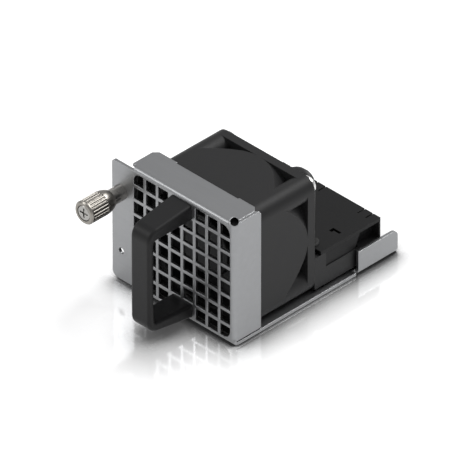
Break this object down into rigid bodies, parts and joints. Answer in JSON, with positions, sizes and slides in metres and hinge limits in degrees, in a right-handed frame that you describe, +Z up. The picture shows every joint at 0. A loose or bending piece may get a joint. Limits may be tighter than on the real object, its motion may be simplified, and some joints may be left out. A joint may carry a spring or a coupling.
{
  "type": "hot-swappable fan module",
  "caption": "Slide-in fan module: folded sheet carrier with grille bezel, pull handle and captive thumbscrew, axial fan with spinning rotor, and a blind-mate connector housing behind.",
  "frame": {"origin": "centre of the tray's underside: on the fan's centre line, half way along the tray", "axes": "+X to the right seen from the bezel, +Y from the bezel into the chassis, along the fan's axis, +Z up"},
  "size_m": [0.0504, 0.0848, 0.043],
  "materials": {
    "sheet_steel": "satin zinc-plated sheet",
    "handle_plastic": "fine texture, dark grey",
    "screw_steel": "bright plated",
    "knob_nickel": "warm nickel plate",
    "shaft_steel": "ground",
    "ferrule_steel": "nickel plate",
    "clip_steel": "phosphated",
    "spring_steel": "drawn wire",
    "fan_plastic": "satin, near black",
    "impeller_plastic": "satin, black",
    "yoke_steel": "drawn cup",
    "magnet": "bonded magnet strip",
    "sleeve_brass": "turned",
    "bearing_steel": "polished",
    "core_steel": "stacked laminations",
    "winding_copper": "enamelled wire",
    "board": "green solder mask",
    "gasket_foam": "closed-cell foam",
    "plug_rubber": "moulded",
    "lead_sheath": "smooth black sheath",
    "grommet_rubber": "moulded",
    "plug_plastic": "natural nylon",
    "header_plastic": "natural nylon",
    "connector_plastic": "moulded black",
    "contact_metal": "gold flash",
    "housing_plastic": "fine texture, black"
  },
  "bodies": {
    "module": {"carrier": "sheet_steel", "handle": "handle_plastic", "handle_screws": "screw_steel", "inlet_gasket": "gasket_foam", "thumbscrew_ferrule": "ferrule_steel", "thumbscrew_spring": "spring_steel", "fan_frame": "fan_plastic", "bearing_sleeve": "sleeve_brass", "front_bearing": "bearing_steel", "rear_bearing": "bearing_steel", "stator_core": "core_steel", "stator_windings": "winding_copper", "motor_board": "board", "bearing_plug": "plug_rubber", "fan_screws": "screw_steel", "fan_lead": "lead_sheath", "lead_grommet": "grommet_rubber", "lead_plug": "plug_plastic", "board_header": "header_plastic", "connector_board": "board", "rear_connector": "connector_plastic", "connector_contacts": "contact_metal", "housing_base": "housing_plastic", "housing_cover": "housing_plastic", "tray_screws": "screw_steel", "board_screws": "screw_steel"},
    "rotor": {"impeller": "impeller_plastic", "rotor_yoke": "yoke_steel", "rotor_magnet": "magnet", "rotor_shaft": "shaft_steel", "shaft_clip": "clip_steel"},
    "screw_slider": {"thumbscrew_clip": "clip_steel"},
    "thumbscrew": {"thumbscrew_knob": "knob_nickel", "thumbscrew_shaft": "shaft_steel"}
  },
  "joints": [
    {"name": "rotor_spin", "type": "hinge", "parent": "module", "child": "rotor", "pos_m": [0, -0.0131, 0.021], "axis": [0, 1, 0], "continuous": true},
    {"name": "thumbscrew_press", "type": "slide", "parent": "module", "child": "screw_slider", "axis": [0, 1, 0], "range_m": [0, 0.0043], "stiffness_N_per_m": 350, "springref_m": -0.004, "deforming": ["thumbscrew_spring"]},
    {"name": "thumbscrew_turn", "type": "hinge", "parent": "screw_slider", "child": "thumbscrew", "pos_m": [-0.025, -0.0438, 0.0318], "axis": [0, 1, 0], "continuous": true}
  ]
}
